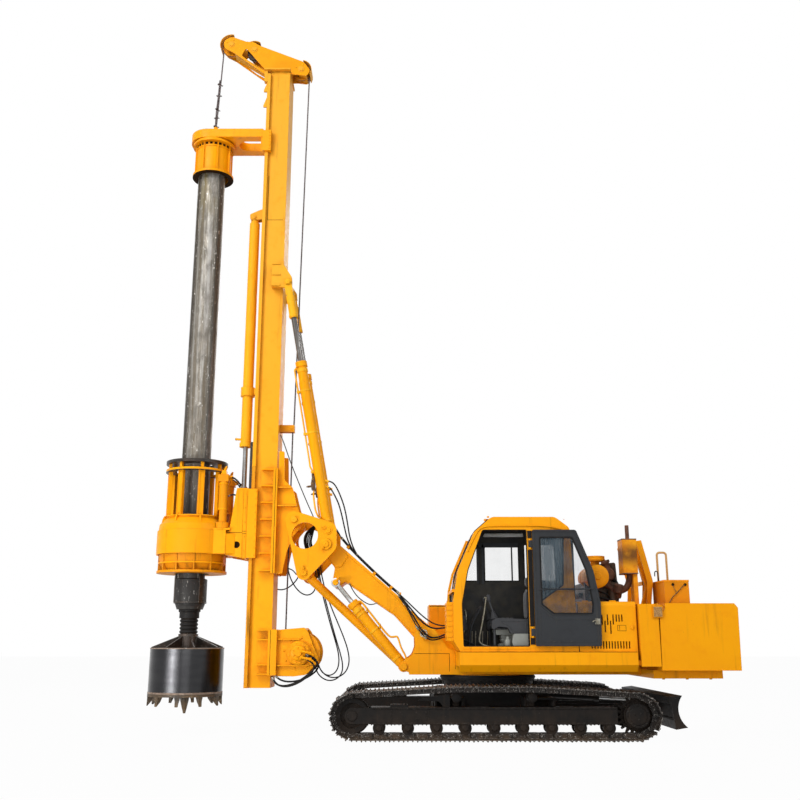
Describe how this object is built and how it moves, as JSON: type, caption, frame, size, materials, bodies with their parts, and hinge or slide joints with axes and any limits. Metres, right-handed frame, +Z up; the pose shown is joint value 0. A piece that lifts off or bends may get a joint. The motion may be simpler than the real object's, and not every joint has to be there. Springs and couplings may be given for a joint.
{
  "type": "rotary piling rig",
  "caption": "Tracked rotary piling rig with slewing cab, luffing boom, folding mast, crowd drive, telescoping kelly bar and drilling bucket.",
  "frame": {"origin": "middle of the footprint at ground level", "axes": "+X forward towards the mast, +Y to the operator's left, +Z up"},
  "size_m": [7.695, 2.8, 10.716],
  "materials": {
    "bucket_rust": "bare rusty steel",
    "bucket_steel": "dark steel worn bare low down",
    "cab_glass": "clear glass, slightly dusty",
    "cab_plastic": "dark moulded plastic",
    "chassis_paint": "black paint, dusty",
    "chrome_rod": "hard chrome, polished",
    "dark_grey": "dark grey paint",
    "door_paint": "dark blue-grey paint",
    "drum_steel": "dark steel under greased rope",
    "engine_iron": "dark oily iron",
    "kelly_steel": "bare steel, streaked and brown",
    "roller_paint": "black paint, dusty and oily",
    "rubber": "black rubber hose",
    "seat_fabric": "black woven cloth",
    "sheave_steel": "dark cast steel with bright grooves",
    "spring_steel": "dark oiled steel",
    "track_steel": "worn dark steel with dried earth",
    "yellow_paint": "semi-gloss amber paint, dusty"
  },
  "bodies": {
    "undercarriage": {"chassis": "chassis_paint", "slew_ring": "chassis_paint", "track_frames": "chassis_paint", "track_left": "track_steel", "track_right": "track_steel", "sprockets": "roller_paint", "idlers": "roller_paint", "track_rollers": "roller_paint"},
    "upper": {"upper_frame": "yellow_paint", "cab_hoses": "rubber", "cab_shell": "yellow_paint", "cab_glass": "cab_glass", "operator_seat": "seat_fabric", "cab_controls": "cab_plastic", "engine_block": "engine_iron", "side_cover_left": "yellow_paint", "side_covers_right": "yellow_paint", "rear_side_boxes": "yellow_paint", "air_cleaner": "dark_grey", "exhaust": "yellow_paint", "hood_plate": "yellow_paint", "counterweight": "yellow_paint", "tool_box": "dark_grey", "grab_rail": "dark_grey"},
    "door": {"cab_door": "door_paint", "door_glass": "cab_glass"},
    "blade": {"blade": "chassis_paint"},
    "blade_barrels": {"blade_cylinder_barrels": "chassis_paint"},
    "blade_rods": {"blade_cylinder_rods": "chrome_rod"},
    "boom": {"boom": "yellow_paint", "boom_hoses": "rubber"},
    "tie_rod": {"tie_rod": "yellow_paint"},
    "boom_barrels": {"boom_cylinder_barrels": "yellow_paint"},
    "boom_rods": {"boom_cylinder_rods": "chrome_rod"},
    "link_head": {"link_head": "yellow_paint", "winch_hoses": "rubber", "link_hoses": "rubber"},
    "mast_barrels": {"mast_cylinder_barrels": "yellow_paint"},
    "mast_rods": {"mast_cylinder_rods": "yellow_paint"},
    "mast": {"mast": "yellow_paint", "mast_bracket": "yellow_paint", "mast_head": "yellow_paint", "winch_housing": "yellow_paint", "feed_cylinder_barrel": "yellow_paint"},
    "winch_drum": {"winch_drum": "drum_steel"},
    "sheave_front": {"sheave_front": "sheave_steel"},
    "sheave_middle": {"sheave_middle": "sheave_steel"},
    "sheave_rear": {"sheave_rear": "sheave_steel"},
    "rotary_drive": {"drive_carriage": "yellow_paint", "drive_gearbox": "yellow_paint", "drive_lower_housing": "yellow_paint", "drive_cage": "yellow_paint", "drive_motors": "yellow_paint", "feed_cylinder_rod": "chrome_rod"},
    "kelly_guide": {"kelly_guide": "yellow_paint"},
    "kelly_outer": {"kelly_outer": "kelly_steel"},
    "kelly_middle": {"kelly_middle": "kelly_steel"},
    "kelly_inner": {"kelly_inner": "spring_steel", "bucket_shell": "bucket_steel"},
    "bucket_bottom": {"bucket_bottom": "bucket_rust"}
  },
  "joints": [
    {"name": "slew", "type": "hinge", "parent": "undercarriage", "child": "upper", "pos_m": [-0.7975, 0, 0.72], "axis": [0, 0, 1], "continuous": true},
    {"name": "cab_door_swing", "type": "hinge", "parent": "upper", "child": "door", "pos_m": [-1.2575, 1.316, 1.85], "axis": [0, 0, -1], "range_deg": [0, 180]},
    {"name": "blade_lift", "type": "hinge", "parent": "undercarriage", "child": "blade", "pos_m": [-1.7975, 0, 0.33], "axis": [0, -1, 0], "range_deg": [-6, 23]},
    {"name": "blade_cylinder_swing", "type": "hinge", "parent": "undercarriage", "child": "blade_barrels", "pos_m": [-1.6325, 0, 0.5], "axis": [0, -1, 0], "range_deg": [-5.2, 19.36]},
    {"name": "blade_cylinder_stroke", "type": "slide", "parent": "blade_barrels", "child": "blade_rods", "axis": [-0.9986, 0, -0.0533], "range_m": [-0.01642, 0.05729]},
    {"name": "boom_luff", "type": "hinge", "parent": "upper", "child": "boom", "pos_m": [0.0575, 0, 1.25], "axis": [0, -1, 0], "range_deg": [-18, 25]},
    {"name": "tie_rod_swing", "type": "hinge", "parent": "upper", "child": "tie_rod", "pos_m": [0.3535, 0, 0.861], "axis": [0, -1, 0], "range_deg": [-18.2, 25.2]},
    {"name": "boom_cylinder_swing", "type": "hinge", "parent": "upper", "child": "boom_barrels", "pos_m": [0.3535, 0, 0.861], "axis": [0, -1, 0], "range_deg": [-16.53, 22.88]},
    {"name": "boom_cylinder_stroke", "type": "slide", "parent": "boom_barrels", "child": "boom_rods", "axis": [0.6442, 0, 0.7649], "range_m": [-0.14724, 0.20372]},
    {"name": "link_head_level", "type": "hinge", "parent": "boom", "child": "link_head", "pos_m": [1.4225, 0, 2.482], "axis": [0, -1, 0], "range_deg": [-25.2, 18.2]},
    {"name": "mast_tilt", "type": "hinge", "parent": "link_head", "child": "mast", "pos_m": [1.8675, 0, 2.819], "axis": [0, -1, 0], "range_deg": [-5, 90]},
    {"name": "mast_cylinder_swing", "type": "hinge", "parent": "link_head", "child": "mast_barrels", "pos_m": [1.3975, 0, 2.67], "axis": [0, -1, 0], "range_deg": [-5.41, 94.02]},
    {"name": "mast_cylinder_stroke", "type": "slide", "parent": "mast_barrels", "child": "mast_rods", "axis": [0.1786, 0, 0.9839], "range_m": [-0.66152, 0.03864]},
    {"name": "winch_turn", "type": "hinge", "parent": "mast", "child": "winch_drum", "pos_m": [1.7705, 0, 1.036], "axis": [0, 1, 0], "continuous": true},
    {"name": "sheave_front_turn", "type": "hinge", "parent": "mast", "child": "sheave_front", "pos_m": [3.1365, 0, 10.566], "axis": [0, 1, 0], "continuous": true},
    {"name": "sheave_middle_turn", "type": "hinge", "parent": "mast", "child": "sheave_middle", "pos_m": [2.7615, 0, 10.471], "axis": [0, 1, 0], "continuous": true},
    {"name": "sheave_rear_turn", "type": "hinge", "parent": "mast", "child": "sheave_rear", "pos_m": [1.9945, 0, 10.11], "axis": [0, 1, 0], "continuous": true},
    {"name": "crowd", "type": "slide", "parent": "mast", "child": "rotary_drive", "axis": [0, 0, 1], "range_m": [-1.65, 0.55]},
    {"name": "kelly_hoist", "type": "slide", "parent": "rotary_drive", "child": "kelly_guide", "axis": [0, 0, -1], "range_m": [-0.75, 4.4]},
    {"name": "kelly_turn", "type": "hinge", "parent": "kelly_guide", "child": "kelly_outer", "pos_m": [3.3425, 0, 8], "axis": [0, 0, 1], "continuous": true},
    {"name": "kelly_middle_extend", "type": "slide", "parent": "kelly_outer", "child": "kelly_middle", "axis": [0, 0, -1], "range_m": [0, 5]},
    {"name": "kelly_inner_extend", "type": "slide", "parent": "kelly_middle", "child": "kelly_inner", "axis": [0, 0, -1], "range_m": [0, 5]},
    {"name": "bucket_bottom_swing", "type": "hinge", "parent": "kelly_inner", "child": "bucket_bottom", "pos_m": [3.3425, -0.522, 0.525], "axis": [-1, 0, 0], "range_deg": [0, 90]}
  ],
  "couplings": [
    {"joint": "tie_rod_swing", "follows": "boom_luff", "ratio": 1},
    {"joint": "link_head_level", "follows": "boom_luff", "ratio": -1},
    {"joint": "boom_cylinder_swing", "follows": "boom_luff", "ratio": 0.90718},
    {"joint": "boom_cylinder_stroke", "follows": "boom_luff", "m_per_rad": 0.46232},
    {"joint": "mast_cylinder_swing", "follows": "mast_tilt", "ratio": 1.0425},
    {"joint": "mast_cylinder_stroke", "follows": "mast_tilt", "m_per_rad": -0.41986},
    {"joint": "blade_cylinder_swing", "follows": "blade_lift", "ratio": 0.83309},
    {"joint": "blade_cylinder_stroke", "follows": "blade_lift", "m_per_rad": 0.13773}
  ]
}
